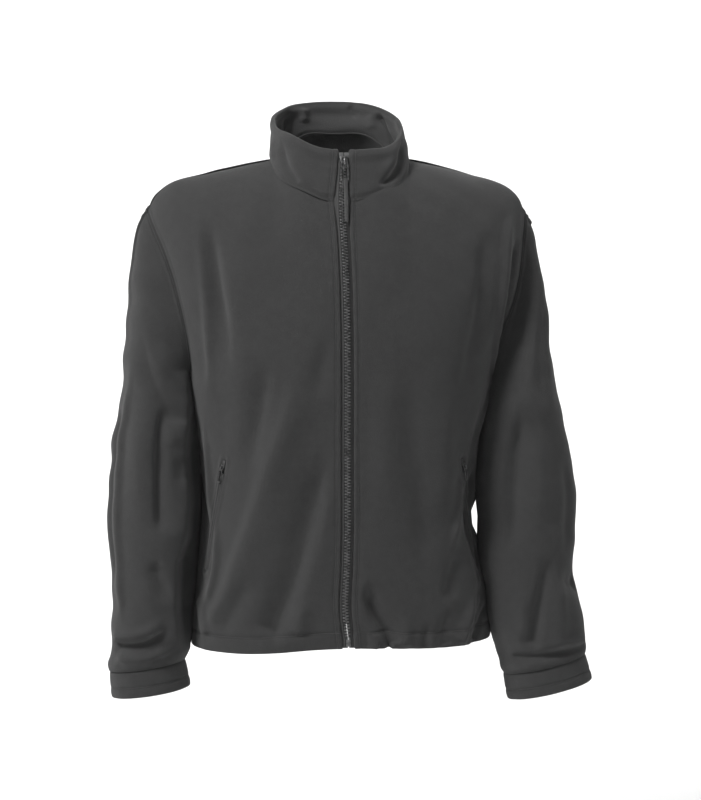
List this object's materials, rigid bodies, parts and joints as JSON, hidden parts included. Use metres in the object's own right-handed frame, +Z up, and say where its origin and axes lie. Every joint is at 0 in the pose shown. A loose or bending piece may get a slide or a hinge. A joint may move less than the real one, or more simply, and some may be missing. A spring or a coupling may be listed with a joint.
{
  "type": "fleece jacket",
  "caption": "Fleece jacket with a full front zip, stand collar, long set-in sleeves, cuffs and slanted zipped side pockets, holding the hollow form of wear.",
  "frame": {"origin": "middle of the neck base, level with the two points where the shoulder seams meet the collar", "axes": "+Z up, -Y to the front, +X to the wearer's left"},
  "size_m": [0.678, 0.2478, 0.8401],
  "materials": {
    "fleece": "matte, short-napped fleece",
    "zip_tape": "matte woven tape",
    "zip_teeth": "satin moulded teeth",
    "zip_hardware": "dark satin metal"
  },
  "bodies": {
    "garment": {"front_right": "fleece", "front_left": "fleece", "sleeve_right": "fleece", "sleeve_left": "fleece", "cuff_right": "fleece", "cuff_left": "fleece", "back": "fleece", "collar": "fleece", "zip_tape_right": "zip_tape", "zip_tape_left": "zip_tape", "pocket_zip_right": "zip_tape", "pocket_zip_left": "zip_tape", "zip_teeth_right": "zip_teeth", "zip_teeth_left": "zip_teeth", "pocket_slider_right": "zip_hardware", "pocket_slider_left": "zip_hardware", "zip_slider": "zip_hardware", "zip_box": "zip_hardware"},
    "front_pull": {"zip_pull": "zip_hardware"},
    "right_pocket_pull": {"pocket_pull_right": "zip_hardware"},
    "left_pocket_pull": {"pocket_pull_left": "zip_hardware"}
  },
  "joints": [
    {"name": "front_pull_swing", "type": "hinge", "parent": "garment", "child": "front_pull", "pos_m": [0, -0.09023, -0.01003], "axis": [-1, 0, 0], "range_deg": [0, 100]},
    {"name": "right_pocket_pull_swing", "type": "hinge", "parent": "garment", "child": "right_pocket_pull", "pos_m": [-0.16734, -0.08052, -0.42397], "axis": [-0.6346, 0.7093, 0.307], "range_deg": [0, 100]},
    {"name": "left_pocket_pull_swing", "type": "hinge", "parent": "garment", "child": "left_pocket_pull", "pos_m": [0.16734, -0.08075, -0.42392], "axis": [-0.6367, -0.7129, -0.2939], "range_deg": [0, 100]}
  ]
}
